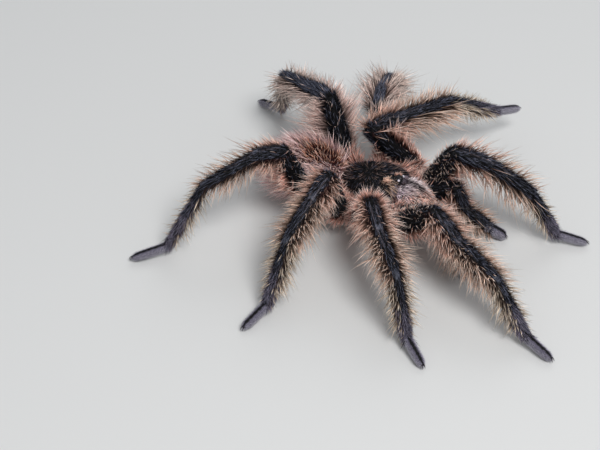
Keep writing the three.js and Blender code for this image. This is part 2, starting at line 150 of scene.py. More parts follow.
# Each limb: pair, side, size, share of the femur's length, hip's reach and bearing,
# the bearings of its pieces, and the pitches of those that the floor doesn't set.
STANCE = {
    "leg_right_1": (1, -1, 1.0, 1, (21.8, 39), (15, 17, 16, 14, 14), (41, -24, -12)),
    "leg_right_2": (2, -1, 1.02, 1, (18.5, 70), (48, 44, 38, 35, 32), (50, -11, -16)),
    "leg_right_3": (3, -1, 1.07, 1, (18, 101), (79, 85, 86, 88, 95), (65, -13, -20)),
    "leg_right_4": (4, -1, 0.985, 0.9, (24, 135), (126, 115, 122, 124, 128), (66, 13, -20)),
    "leg_left_1": (1, 1, 0.95, 1, (18.5, 38), (-11, 15, 19, 21, 22), (60, -8, -30)),
    "leg_left_2": (2, 1, 1.16, 0.85, (19.6, 78), (216, 67, 62, 62, 74), (44, 0, 2, -27, -18)),
    "leg_left_3": (3, 1, 0.99, 1, (16.8, 107), (136, 112, 109, 109, 109), (29, 15, -17)),
    "leg_left_4": (4, 1, 0.92, 1, (20.8, 153), (169, 167, 156, 132, 172), (67, -5, -15)),
    "palp_right": ("palp", -1, 1.0, 1, (17.3, 25), (10, 10, 10, 10), (30, -23)),
    "palp_left": ("palp", 1, 0.96, 1, (17.4, 25), (6, 10, 10, 10), (28, -67)),
}
CARAPACE_LENGTH, CARAPACE_WIDTH, CARAPACE_TOP, CARAPACE_RIM = 22, 20, 18.2, 11.6
MOUND = np.array([0, -9.5, CARAPACE_TOP - 0.45])
MOUND_SIZE = (1.9, 1.6, 1.5)
JAW_ASIDE, FANG_ASIDE = 2.3, 2.2
WAIST = np.array([0, 12.5, 12.9])
ABDOMEN_AXIS = toward(-1, 154, -7)
ABDOMEN_LENGTH = 30.5


# ---- parts of the body


class Part:
    """A tube of flesh along a path: its width, rise and depth at stations along it, which
    are places from 0 to 1 or the number of them."""

    def __init__(self, kind, group, path, back, sizes, stations, count=20, girth=1, front=None):
        self.kind, self.group, self.girth = kind, group, girth
        self.path = np.asarray(path, float)
        self.back = np.asarray(back, float)
        self.stations = np.linspace(0, 1, stations) if isinstance(stations, int) else stations
        self.sizes, self.count = sizes, count
        steps = np.diff(self.path, axis=0)
        self.lengths = np.linalg.norm(steps, axis=1)
        self.steps = steps / self.lengths[:, None]
        self.total = self.lengths.sum()
        self.before = np.concatenate([[0], np.cumsum(self.lengths)])
        self.front = front

    def place(self, along):
        """The point and direction at a place along the path, also past its ends."""
        far = along * self.total
        k = int(np.clip(np.searchsorted(self.before, far, "right") - 1, 0, len(self.steps) - 1))
        point = self.path[k] + self.steps[k] * (far - self.before[k])
        share = np.clip((far - self.before[k]) / self.lengths[k], 0, 1) - 0.5
        beside = int(np.clip(k + np.sign(share), 0, len(self.steps) - 1))
        return point, unit(mix(self.steps[k], self.steps[beside], abs(share)))

    def loft(self):
        """The part's own closed surface: its points and faces."""
        turn = np.linspace(0, 2 * math.pi, self.count, endpoint=False)
        rings = []
        for along in self.stations:
            centre, axis = self.place(along)
            up = square_to(axis, self.back)
            across = np.cross(axis, up)
            half, rise, depth = self.sizes(along)
            height = np.sin(turn) * np.where(np.sin(turn) > 0, rise, depth)
            rings.append(centre + np.outer(np.cos(turn) * half, across) + np.outer(height, up))
        points = np.concatenate(rings)
        n, faces = self.count, []
        for i in range(len(rings) - 1):
            for k in range(n):
                a, b = i * n + k, i * n + (k + 1) % n
                faces.append((a, b, b + n, a + n))
        last = (len(rings) - 1) * n
        faces.append(tuple(range(n))[::-1])
        faces.append(tuple(range(last, last + n)))
        return points, faces

    def locate(self, points):
        """Where points lie on the part: along it, and the angle round it from its side
        over its back, with the directions along and across there."""
        offset = points[:, None] - self.path[None, :-1]
        far = np.clip((offset * self.steps).sum(2), 0, self.lengths)
        foot = self.path[:-1] + self.steps * far[..., None]
        k = np.linalg.norm(points[:, None] - foot, axis=2).argmin(1)
        rows = np.arange(len(points))
        axis = self.steps[k]
        up = square_to(axis, np.broadcast_to(self.back, axis.shape))
        across = np.cross(axis, up)
        out = points - foot[rows, k]
        angle = np.degrees(np.arctan2((out * up).sum(1), (out * across).sum(1)))
        along = (self.before[k] + far[rows, k]) / self.total
        return along, angle, axis, across


parts = []


def pose_limb(pair, side, size, femur_share, hip, bearings, pitches):
    """A limb's pieces by name, the joints between them and their directions."""
    names = PALP if pair == "palp" else LEG
    joints = [toward(side, hip[1], 0) * hip[0] + UP * HIP_HEIGHT]
    axes = []
    for i, name in enumerate(names):
        length = LENGTHS[pair][i] * size * (femur_share if name == "femur" else 1)
        toe = PALP_TOE if pair == "palp" else TOE
        end = toe if name == "tarsus" else HEEL
        if i < len(pitches):
            pitch = pitches[i]
        else:
            pitch = math.degrees(math.asin((end - joints[i][2]) / length))
        axes.append(toward(side, bearings[i], pitch))
        joints.append(joints[i] + axes[i] * length)
    return names, joints, axes


def hind_flesh(kind):
    return [full * slim for full, slim in zip(FORM[kind][0], HIND_SLIM.get(kind, (1, 1)))]


def limb_sizes(flesh, girth, length, kind):
    """Flesh that swells a little along a piece and narrows at its joints."""

    def sizes(along):
        swell = 1 + 0.05 * math.sin(math.pi * min(max(along, 0), 1))
        necks = bell(along * length, 1.3) + bell((1 - along) * length, 1.1)
        radius = mix(*flesh, along) * girth * (swell - 0.12 * necks)
        if kind == "tarsus":
            radius *= math.sqrt(max(1 - max((along - 0.8) / 0.21, 0) ** 2, 0.05))
            return radius, radius * 0.95, radius * 0.85
        return radius, radius, radius

    return sizes


def hip_sizes(radius):
    """A round hip, with a furrow near its outer end."""
    return lambda along: (radius * (1 - 0.1 * bell(along - 0.72, 0.05)),) * 3


for limb, stance in STANCE.items():
    pair, side, _, _, hip, bearings, _ = stance
    names, joints, axes = pose_limb(*stance)
    girth = PALP_GIRTH if pair == "palp" else 1
    outward = unit(joints[0] * [1, 1, 0])
    leaving = unit(outward + UP * 0.9)
    root = outward * HIP_START_OUT + UP * HIP_START_HEIGHT
    bend = joints[0] - leaving * 4.5
    bend[2] = HIP_BEND_HEIGHT
    hip_path = bezier(root, bend, joints[0] + leaving * 0.6, 9)
    sizes, front = hip_sizes(HIP_RADIUS * girth), toward(side, hip[1] - 90, 0)
    parts.append(Part("hip", "underside", hip_path, UP, sizes, 16, girth=girth, front=front))
    for i, name in enumerate(names):
        start, end = joints[i], joints[i + 1]
        length = np.linalg.norm(end - start)
        back = -square_to(axes[0], axes[1]) if i == 0 else UP
        flesh = FORM["palp_foot" if (pair, name) == ("palp", "tarsus") else name][0]
        sizes = limb_sizes(hind_flesh(name) if pair == 4 else flesh, girth, length, name)
        into = OVERLAP if i else HIP_OVERLAP
        beyond = 0 if name == "tarsus" else OVERLAP
        stations = np.linspace(-into / length, 1 + beyond / length, max(int(length / STATION_STEP), 8))
        front = toward(side, bearings[i] - 90, 0)
        parts.append(Part(name, limb, [start, end], back, sizes, stations, girth=girth, front=front))
    if pair == 1:
        # The spur under the end of a male's first shins.
        below = -square_to(axes[2], UP)
        inward = np.cross(axes[2], below) * -side
        lean = unit(below + inward * 0.35 + axes[2] * 0.25)
        root = joints[3] - axes[2] * 3.2
        end = root + lean * 5.0
        spur = bezier(root, mix(root, end, 0.7), end + axes[2] * 1.5, 8)
        sizes = lambda along: (mix(0.85, 0.42, along),) * 3
        parts.append(Part("spur", limb, spur, axes[2], sizes, 9, count=10))


def rim_height(along):
    return CARAPACE_RIM + 1.2 * max(0, 0.4 - along)


def carapace_sizes(along):
    """Wide in the middle, with its ridge falling off behind and a little at the brow."""
    swell = math.sin(math.pi * along**0.85) ** 0.8
    half_width = mix(13, 8, along) / 2 + (CARAPACE_WIDTH / 2 - 5.25) * swell
    rear = 3.6 * max(0, (along - 0.3) / 0.7) ** 2
    brow = 0.7 * max(0, 1 - along / 0.12)
    ridge = CARAPACE_TOP - rear - brow
    closing = 0.55 + 0.45 * math.sqrt(1 - (2 * along - 1) ** 8)
    return (half_width + 0.3) * closing, (ridge - rim_height(along)) * closing, 0.8


half = CARAPACE_LENGTH / 2
rim_places = np.linspace(-half, half + 0.2, 12)
rim_path = [(0, y, rim_height((y + half) / CARAPACE_LENGTH)) for y in rim_places]
parts.append(Part("carapace", "head", rim_path, UP, carapace_sizes, 40, count=40))


def mound_sizes(along):
    full = dome(along, 0.03)
    return MOUND_SIZE[0] * full * 0.95, MOUND_SIZE[2] * full * 0.9, 1.2 * full


mound_path = [MOUND - [0, MOUND_SIZE[1], 0], MOUND + [0, MOUND_SIZE[1], 0]]
parts.append(Part("mound", "head", mound_path, UP, mound_sizes, 12))

for side in (1, -1):
    x = JAW_ASIDE * side
    knots = np.array([[x, -8.6, 12.2], [x, -13, 13.6], [x, -16.8, 12.8], [x, -19.2, 10.4], [x, -19.8, 7.9]])
    where = np.linspace(0, len(knots) - 1, 17)
    jaw_path = np.stack([np.interp(where, range(len(knots)), knots[:, c]) for c in range(3)], 1)
    for _ in range(2):
        jaw_path[1:-1] = (jaw_path[:-2] + 2 * jaw_path[1:-1] + jaw_path[2:]) / 4

    def jaw_sizes(along):
        fore = mix(2.9, 3.5, min(1, along * 2.5))
        radius = mix(fore, 2.1, max(0, (along - 0.5) / 0.5) ** 1.5)
        radius *= math.sqrt(max(1 - max((along - 0.85) / 0.16, 0) ** 2, 0.1))
        return min(2.5, radius), radius, radius

    parts.append(Part("jaw", "head", jaw_path, (0, 0.2, 1), jaw_sizes, 22))


def plate_sizes(along):
    full = dome(along, 0.02)
    return 7.4 * full, 3 * full, 2.9 * full


plate_path = [(0, -9.4, 6.4), (0, 10.2, 6.4)]
parts.append(Part("sternum", "underside", plate_path, UP, plate_sizes, 24, 28))


def abdomen_sizes(along):
    full = dome(along**0.88, 0.015)
    return 9.8 * full, 8.6 * full, 7.8 * full


abdomen_front = WAIST + ABDOMEN_AXIS * 1.2
abdomen_path = abdomen_front + np.outer(np.linspace(0, ABDOMEN_LENGTH - 5.2, 8), ABDOMEN_AXIS)
abdomen_path[:, 2] += 0.8 * np.sin(np.linspace(0, math.pi, 8))
parts.append(Part("abdomen", "abdomen", abdomen_path, UP, abdomen_sizes, 40, 36))
stalk_path = [WAIST - ABDOMEN_AXIS * 2.6 - UP * 2.6, WAIST + ABDOMEN_AXIS * 4 - UP * 1.5]
parts.append(Part("stalk", "abdomen", stalk_path, UP, lambda along: (1.9, 1.9, 1.9), [0, 0.5, 1]))


def spinneret_sizes(along):
    """Slender and tapering, with shallow rings."""
    return (mix(1.05, 0.5, along) * (1 - 0.16 * bell(along % 0.36 - 0.18, 0.03)),) * 3


for side in (1, -1):
    across = unit(np.cross(ABDOMEN_AXIS, UP))
    start = WAIST + ABDOMEN_AXIS * (ABDOMEN_LENGTH - 4.6) + across * side * 1.7 - UP * 3.4
    out = unit(ABDOMEN_AXIS + across * side * math.tan(math.radians(16)) + UP * math.tan(math.radians(14)))
    path = [start, start + out * 9.0]
    parts.append(Part("spinneret", "abdomen", path, UP, spinneret_sizes, 18, 14))


# ---- one skin


TINT = "tint"  # the name of the colours that a piece's own points carry


def add(name, data):
    """A new object in the scene."""
    made = bpy.data.objects.new(name, data)
    bpy.context.scene.collection.objects.link(made)
    return made


def new_mesh(name, points, faces, material):
    """A smooth mesh object, in the row's frame. A face is a row of its points' numbers."""
    loops, sizes = np.concatenate(faces), [*map(len, faces)]
    mesh = bpy.data.meshes.new(name)
    mesh.vertices.add(len(points))
    mesh.vertices.foreach_set("co", (points * MM + SHIFT).astype(np.float32).ravel())
    mesh.loops.add(len(loops))
    mesh.loops.foreach_set("vertex_index", loops.astype(np.int32))
    mesh.polygons.add(len(sizes))
    starts = np.concatenate([[0], np.cumsum(sizes)[:-1]])
    mesh.polygons.foreach_set("loop_start", starts.astype(np.int32))
    mesh.update(calc_edges=True)
    mesh.polygons.foreach_set("use_smooth", np.ones(len(sizes), bool))
    mesh.materials.append(material)
    return add(name, mesh)


def paint(thing, colours):
    layer = thing.data.color_attributes.new(TINT, "FLOAT_COLOR", "POINT")
    rows = np.ones((len(colours), 4), np.float32)
    rows[:, :3] = colours
    layer.data.foreach_set("color", rows.ravel())


def joined(surfaces):
    """Several closed surfaces as one: all their points, and the points of each face."""
    points, faces = [], []
    for own, own_faces in surfaces:
        start = sum(map(len, points))
        points.append(own)
        faces += [tuple(i + start for i in face) for face in own_faces]
    return np.concatenate(points), faces


def solid(name, surfaces, material):
    """Closed surfaces joined into one piece of the model."""
    made = new_mesh(name, *joined(surfaces), material)
    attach(made, "root")
    return made


def melt(voxel):
    """One closed surface round all the parts, as points and four-cornered faces."""
    points, faces = joined(part.loft() for part in parts)
    mesh = bpy.data.meshes.new("flesh")
    mesh.from_pydata(points.tolist(), [], faces)
    lump = add("flesh", mesh)
    remesh = lump.modifiers.new("one surface", "REMESH")
    remesh.mode = "VOXEL"
    remesh.voxel_size = voxel
    remeshed = lump.evaluated_get(bpy.context.evaluated_depsgraph_get())
    made = bpy.data.meshes.new_from_object(remeshed)
    bpy.data.objects.remove(lump)
    co = np.empty(len(made.vertices) * 3)
    made.vertices.foreach_get("co", co)
    quads = np.empty(len(made.loops), np.int64)
    made.loops.foreach_get("vertex_index", quads)
    return co.reshape(-1, 3), quads.reshape(-1, 4)


def outer_shell(co, quads):
    """Only the largest connected surface, without the closed pockets inside."""
    label = np.arange(len(co))
    while True:
        least = label[quads].min(1)
        new = label.copy()
        for c in range(4):
            np.minimum.at(new, quads[:, c], least)
        new = new[new]
        if (new == label).all():
            break
        label = new
    kept = np.bincount(label).argmax() == label
    index = np.cumsum(kept) - 1
    return co[kept], index[quads[kept[quads[:, 0]]]]


STEP_BACK = 1.03  # how much longer each step back is, so that nothing shrinks


def relax(co, quads, rounds, share=0.5):
    """Evens out the steps of the voxels."""
    edges = np.concatenate([quads[:, [i, (i + 1) % 4]] for i in range(4)])
    edges = np.concatenate([edges, edges[:, ::-1]])
    degree = np.bincount(edges[:, 0], minlength=len(co))[:, None]
    for step in range(rounds * 2):
        total = np.stack([np.bincount(edges[:, 0], co[edges[:, 1], c], len(co)) for c in range(3)], 1)
        co = co + (total / degree - co) * (share if step % 2 == 0 else -share * STEP_BACK)
    return co


def vertex_normals(co, quads):
    a, b, c, d = (co[quads[:, i]] for i in range(4))
    face = np.cross(c - a, d - b)
    total = np.zeros_like(co)
    for i in range(4):
        for axis in range(3):
            total[:, axis] += np.bincount(quads[:, i], face[:, axis], len(co))
    return unit(total)


VOXEL = 0.4
skin_co, skin_quads = outer_shell(*melt(VOXEL))
skin_co = relax(skin_co, skin_quads, 3)
skin_normal = vertex_normals(skin_co, skin_quads)

# Each point of the skin belongs to the part whose own surface is nearest.
lofts = [part.loft()[0] for part in parts]
owner = np.repeat(range(len(parts)), [*map(len, lofts)])
tree = KDTree(len(owner))
for i, point in enumerate(np.concatenate(lofts)):
    tree.insert(point, i)
tree.balance()
skin_part = owner[[tree.find(p)[1] for p in skin_co]]


class Spot:
    """Where many points lie on their parts, as arrays."""

    def __init__(self, points, number):
        self.number = number
        self.along, self.angle, self.front = np.zeros((3, len(points)))
        self.axis = np.zeros((len(points), 3))
        self.x, self.y, self.z = points.T
        for n in np.unique(number):
            own = number == n
            self.along[own], self.angle[own], self.axis[own], across = parts[n].locate(points[own])
            if parts[n].front is not None:
                self.front[own] = np.sign((across * parts[n].front).sum(1))
        self.kind = np.array([p.kind for p in parts])[number]
        self.group = np.array([p.group for p in parts])[number]
        self.girth = np.array([p.girth for p in parts])[number]

    def pick(self, chosen):
        """The same for some of the points, in the order chosen."""
        made = object.__new__(Spot)
        for name, value in vars(self).items():
            setattr(made, name, value[chosen])
        return made

    def is_(self, *kinds):
        return np.isin(self.kind, kinds)

    def on(self, *groups):
        return np.isin(self.group, groups)


# ---- the markings

BLACK = rgb("040305")
BLUE_BLACK = rgb("0b0c14")
SLATE = rgb("6d7083")
STEEL = rgb("8f93a6")
LILAC = rgb("a3949c")
UMBER = rgb("231614")
DARK_ROSE = rgb("35191a")
WINE = rgb("43201f")
ORANGE = rgb("c4896a")

# The black on a limb's back, in degrees round it: half its width on the thigh and how
# far it is turned there towards the limb's front, then how much wider than usual the
# stripe beyond the thigh is and how far that is turned.
MARKS = {
    "leg_right_1": (118, -30, 5, 0),
    "leg_right_2": (116, 0, 2, 0),
    "leg_right_3": (116, 62, 3, 0),
    "leg_right_4": (116, 28, 10, 38),
    "leg_left_1": (116, 26, 15, 38),
    "leg_left_2": (116, 0, 10, 30),
    "leg_left_3": (104, 0, -3, 0),
    "leg_left_4": (80, -12, 14, -28),
    "palp_right": (140, 0, 6, 0),
    "palp_left": (116, 26, 10, 35),
}


def stripe(spot):
    """How far a point lies in the black stripe on a limb's back, from 0 to 1."""
    half = np.zeros(len(spot.along))
    for kind, wide in (("patella", 38), ("tibia", 33), ("metatarsus", 30), ("tarsus", 24)):
        half[spot.kind == kind] = wide
    roll = np.zeros(len(spot.along))
    for limb, (thigh, turn, wider, beyond) in MARKS.items():
        own = spot.on(limb) & spot.is_("patella", "tibia", "metatarsus")
        half[own] += wider
        roll[own] = beyond
        own = spot.on(limb) & spot.is_("femur")
        half[own], roll[own] = thigh, turn
    centre = 90 - roll * spot.front
    off = np.abs((spot.angle - centre + 180) % 360 - 180)
    wave = 4 * np.sin(spot.along * 37) + 3 * np.sin(spot.along * 91 + 1)
    return np.where(half > 0, fade(half - 8, half + 8, off + wave * (half > 20)), 0)


def joint_patch(spot):
    """The pale steel patches on the back of the joints at both ends of the shin."""
    off = np.abs(spot.angle - 90)
    near_start = bell(spot.along, 0.03) * spot.is_("tibia", "metatarsus")
    near_end = bell(1 - spot.along, 0.05) * spot.is_("patella", "tibia")
    return np.clip(near_start + near_end, 0, 1) * fade(18, 36, off)


def bald_lines(spot):
    """The two narrow pale lines along the back of patella and shin."""
    off = np.abs(np.abs(spot.angle - 90) - 17)
    fading = fade(0.35, 0.6, spot.along)
    length = np.where(spot.is_("patella"), smooth(0.05, 0.2, spot.along), fading)
    return np.where(spot.is_("patella", "tibia"), bell(off, 4.5) * length, 0)


SKIN_COLOURS = [
    (["carapace"], BLACK), (["mound", "spur"], BLUE_BLACK), (["tibia", "metatarsus"], rgb("2e201e")),
    (["tarsus"], rgb("5c5768")), (["jaw"], rgb("33262b")), (["abdomen", "stalk"], rgb("6b4440")),
    (["spinneret"], rgb("4a3a3c")),
]


def skin_tint(spot):
    """The colour of the skin itself."""
    base = np.tile(DARK_ROSE, (len(spot.along), 1))
    for kinds, colour in SKIN_COLOURS:
        base[spot.is_(*kinds)] = colour
    base = blend(base, WINE * 0.7, abdomen_saddle(spot))
    base = blend(base, BLACK, stripe(spot))
    base = blend(base, STEEL, 0.4 * joint_patch(spot))
    return blend(base, LILAC, 0.4 * bald_lines(spot))


def abdomen_saddle(spot):
    """The dark patch on the front of the abdomen's back, worn a little to the right."""
    off = np.abs(spot.angle - 104)
    patch = fade(24, 46, off) * fade(0.36, 0.58, spot.along)
    return np.where(spot.is_("abdomen"), patch, 0)


def away_from_pit(points):
    """Level, from the pit in the middle of the carapace."""
    return (points - [0, 2.6, 0]) * [1, 1, 0]


skin_spot = Spot(skin_co, skin_part)

# Folds: the carapace's centre pit, the grooves that run out from it to the sides and
# the two deeper ones to the front, and wrinkles in the soft skin at the joints.
from_pit = away_from_pit(skin_co)
distance = np.hypot(from_pit[:, 0], from_pit[:, 1])
bearing = np.arctan2(from_pit[:, 0], -from_pit[:, 1])
on_top = skin_spot.is_("carapace") * smooth(12.2, 13.4, skin_co[:, 2])
off_pit = smooth(1.5, 3.5, distance)
grooves = np.maximum(0, np.cos(bearing * 4)) ** 6 * off_pit * fade(7.5, 9.5, distance)
front_pair = bell(np.abs(bearing) - 0.62, 0.09) * off_pit * fade(9, 11, distance)
deep = -0.28 * grooves * (np.abs(bearing) > 0.9) - 0.4 * front_pair
deep -= 0.9 * np.exp(-((from_pit[:, 0] / 1.5) ** 2) - (from_pit[:, 1] / 0.75) ** 2)
sink = deep * on_top
ends = np.minimum(skin_spot.along, 1 - skin_spot.along)
wrinkle = bell(ends, 0.05) * np.sin(ends * 260)
sink += np.where(skin_spot.is_(*LEG), 0.06 * wrinkle, 0)
skin_co = skin_co + skin_normal * sink[:, None]
skin_normal = vertex_normals(skin_co, skin_quads)


# ---- materials


def fill(node, values):
    for name, value in values.items():
        node.inputs[name].default_value = value
    return node


def surface(name, roughness, specular, colour=None, sheen=0.0, grain=None, bump=0.0):
    """A Principled material, in one colour or else in the piece's own colours. Grain
    breaks the colour up with fine noise in value, and bump makes relief of that noise."""
    material = bpy.data.materials.new(name)
    material.use_nodes = True
    tree = material.node_tree
    node = lambda kind, values: fill(tree.nodes.new("ShaderNode" + kind), values)
    link = lambda a, out, b, into: tree.links.new(a.outputs[out], b.inputs[into])
    shader = fill(tree.nodes["Principled BSDF"], {
        "Roughness": roughness, "Specular IOR Level": specular,
        "Sheen Weight": sheen, "Sheen Roughness": 0.35,
    })
    if colour is not None:
        fill(shader, {"Base Color": (*colour, 1)})
    if grain is None:
        return material
    noise = node("TexNoise", {"Scale": grain, "Detail": 4})
    link(node("TexCoord", {}), "Object", noise, "Vector")
    value = node("MapRange", {"To Min": 0.72, "To Max": 1.3})
    link(noise, "Fac", value, "Value")
    tone = node("HueSaturation", {} if colour is None else {"Color": (*colour, 1)})
    link(value, "Result", tone, "Value")
    if colour is None:
        source = node("Attribute", {})
        source.attribute_name = TINT
        link(source, "Color", tone, "Color")
    link(tone, "Color", shader, "Base Color")
    if bump:
        relief = node("Bump", {"Strength": bump, "Distance": 0.15 * MM})
        link(noise, "Fac", relief, "Height")
        link(relief, "Normal", shader, "Normal")
    return material


skin_material = surface("skin", 0.62, 0.35, sheen=0.15, grain=2600, bump=0.6)
hair_material = surface("hair", 0.6, 0.12, grain=900)
velvet_material = surface("velvet", 0.6, 0.12, grain=900)

skin = new_mesh("skin", skin_co, skin_quads, skin_material)
paint(skin, skin_tint(skin_spot))
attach(skin, "root")
kept = ("eye_left", "eye_right", "fang_left", "fang_right")
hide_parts(*[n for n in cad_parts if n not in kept])

# ---- the hair

TRIS = skin_quads[:, [0, 1, 2, 0, 2, 3]].reshape(-1, 3)
tri_a, tri_b, tri_c = (skin_co[TRIS[:, i]] for i in range(3))
tri_area = np.linalg.norm(np.cross(tri_b - tri_a, tri_c - tri_a), axis=1) / 2
tri_spot = Spot((tri_a + tri_b + tri_c) / 3, skin_part[TRIS[:, 0]])
PATCH = 0.003  # the side of the square that one hair takes up in the unwrap
ROOT_DEPTH = 0.12
SHARE_OF_HAIRS = 1.0
HIND = ("leg_right_4", "leg_left_4")
LEFT_REAR = ("leg_left_3", "leg_left_4")


def through(three, along):
    """A soft curve through a piece's three measures: at its start, middle and end."""
    start, middle, end = three
    first = along < 0.5
    t = np.where(first, along * 2, along * 2 - 1)
    t = np.sin(np.pi / 2 * np.clip(t, 0, 1)) ** 2
    return np.where(first, mix(start, middle, t), mix(middle, end, t))


def coat_depth(spot):
    """How far the hair stands out from the flesh at each spot, from the solids' sizes."""
    depth = np.full(len(spot.along), 1.0)
    for kind, (flesh, above, beside, below) in FORM.items():
        own = spot.kind == kind
        along = np.clip(spot.along[own], 0, 1)
        base = mix(*flesh, along)
        turn = np.radians(spot.angle[own])
        rise = base + np.where(np.sin(turn) > 0, through(above, along), through(below, along))
        half = base + through(beside, along)
        flesh_here = np.where(spot.on(*HIND)[own], mix(*hind_flesh(kind), along), base)
        outside = 1 / np.hypot(np.cos(turn) / half, np.sin(turn) / rise)
        depth[own] = (outside - flesh_here) * spot.girth[own]
    return depth


def chart(spot, group):
    """An unwrap of the skin's own shape: each part is a band, along it in u and round
    it in v, and the bands of the parts in a coat lie in two columns."""
    numbers = [number for number, part in enumerate(parts) if part.group == group]
    rows = math.ceil(len(numbers) / 2)
    lane = np.searchsorted(numbers, spot.number)
    u = (lane % 2 + 0.02 + 0.94 * np.clip(spot.along, 0, 1)) / 2
    v = (lane // 2 + 0.02 + 0.94 * (spot.angle + 180) / 360) / rows
    return np.stack([u, v], 1)


def sow(rng, density):
    """Roots over the skin, as many for each triangle as the density asks."""
    wanted = tri_area * density
    count = np.floor(wanted + rng.random(len(wanted))).astype(int)
    rows = np.repeat(np.arange(len(count)), count)
    u, v = rng.random((2, len(rows)))
    flip = u + v > 1
    u, v = np.where(flip, 1 - u, u), np.where(flip, 1 - v, v)
    w = 1 - u - v
    corner = TRIS[rows]
    weights = np.stack([w, u, v], 1)[..., None]
    root = (skin_co[corner] * weights).sum(1)
    normal = unit((skin_normal[corner] * weights).sum(1))
    return root, normal, tri_spot.pick(rows)


def lie_of_coat(spot, at):
    """Which way hair lies: along its part, but on the carapace away from the pit."""
    return np.where(spot.is_("carapace", "mound")[:, None], away_from_pit(at), spot.axis)


class Coat:
    """One piece of coat, made of several layers of hairs."""

    def __init__(self, group, slot, seed):
        self.group, self.slot = group, slot
        self.rng = np.random.default_rng(seed)
        self.layers, self.total = [], 0

    def layer(self, density, length, lean, root, tip, radius, steps=2, curl=0.3, spread=0.14,
              vary=0.22, middle=None, floor=0.05, mottle=0.18):
        """Sows hairs. density is a function of the spots, in hairs to a square
        millimetre. The length and the colours root, middle and tip are each a value, a
        colour's code or such a function. lean is in degrees from the skin's normal
        towards the way the coat lies."""
        rng = self.rng
        wanted = np.where(tri_spot.on(self.group), SHARE_OF_HAIRS * density(tri_spot), 0)
        at, normal, spot = sow(rng, wanted)
        n = len(at)
        get = lambda x: x(spot) if callable(x) else rgb(x) if isinstance(x, str) else x
        length = get(length) * (1 + vary * rng.standard_normal(n)).clip(0.35, 1.6)
        lean = np.radians(lean + 7 * rng.standard_normal(n))
        lie = square_to(normal, lie_of_coat(spot, at))
        aim = normal * np.cos(lean)[:, None] + lie * np.sin(lean)[:, None]
        aim = unit(aim + spread * rng.standard_normal((n, 3)))
        sideways = square_to(aim, rng.standard_normal((n, 3)))
        other = np.cross(aim, sideways)
        bend = lie * curl + 0.08 * rng.standard_normal((n, 3))
        radius = radius * (0.8 + 0.4 * rng.random(n))
        start = at - normal * ROOT_DEPTH
        shade = np.exp(mottle * rng.standard_normal(n)).clip(0.2, 1.9)[:, None]
        root, tip = (np.broadcast_to(get(colour), (n, 3)) for colour in (root, tip))
        middle = mix(root, tip, 0.62) if middle is None else np.broadcast_to(get(middle), (n, 3))
        rings, tints = [], []
        for i in range(steps):
            s = i / steps
            centre = start + aim * (length * s)[:, None] + bend * (length * s * s * 0.5)[:, None]
            width = radius * (1 - 0.3 * s)
            for k in range(3):
                turn = 2 * math.pi * k / 3
                aside = sideways * math.cos(turn) + other * math.sin(turn)
                rings.append(centre + aside * width[:, None])
                tints.append((root if i == 0 else middle) * shade)
        rings.append(start + aim * length[:, None] + bend * (length * 0.5)[:, None])
        tints.append(tip * shade)
        points = np.stack(rings, 1)
        points[..., 2] = points[..., 2].clip(floor)
        faces, corners = hair_template(steps)
        count = points.shape[1]
        tris = faces[None] + (np.arange(n) * count)[:, None, None] + self.total
        uv = chart(spot, self.group)[:, None, None] + corners[None] * PATCH
        tints = np.stack(tints, 1).reshape(-1, 3)
        self.layers.append((points.reshape(-1, 3), tris.reshape(-1, 3), uv.reshape(-1, 2), tints))
        self.total += n * count

    def build(self, material=hair_material):
        points, tris, uv, tints = map(np.concatenate, zip(*self.layers))
        made = new_mesh(f"coat_{self.group}", points, tris, material)
        paint(made, tints)
        layer = made.data.uv_layers.new(name="OFBake")
        layer.uv.foreach_set("vector", uv.astype(np.float32).ravel())
        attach(made, "root")


def hair_template(steps):
    """The faces of one three-sided hair, and each corner's place on its patch."""
    faces, corners = [(2, 1, 0)], [((0.6, 0.1), (0.3, 0.3), (0, 0.1))]
    for i in range(steps):
        low, high = i / steps, (i + 1) / steps
        for k in range(3):
            a, b = 3 * i + k, 3 * i + (k + 1) % 3
            left, right = k / 3, (k + 1) / 3
            if i == steps - 1:
                faces.append((a, b, 3 * steps))
                corners.append(((left, low), (right, low), ((left + right) / 2, high)))
            else:
                faces += [(a, b, b + 3), (a, b + 3, a + 3)]
                corners.append(((left, low), (right, low), (right, high)))
                corners.append(((left, low), (right, high), (left, high)))
    return np.array(faces), np.array(corners)


def by_piece(spot, thigh, knee, shin, further):
    kinds = [spot.is_("femur"), spot.is_("patella"), spot.is_("tibia")]
    return np.select(kinds, [thigh, knee, shin], further)


def outer(spot):
    """How much of the outer limb's colour a spot has, from 0 to 1."""
    return by_piece(spot, 0.0, 0.3, 0.6, 1.0)


# The colours of a limb's long hair, rosy near the body and tan further out. The dark roots also paint the
# shade deep in the coat.
def limb_root(spot):
    return blend("240c09", "3c2920", outer(spot))


def limb_middle(spot):
    return blend(blend("e6b09f", "d8c3ae", outer(spot)), "e6d3cd", 0.6 * spot.on(*LEFT_REAR))


def limb_tip(spot):
    return blend("fff0e8", "fff6ea", outer(spot))


def foot_colour(code):
    """A colour for a foot's hair that turns black in the stripe."""
    return lambda s: blend(code, BLACK, stripe(s))


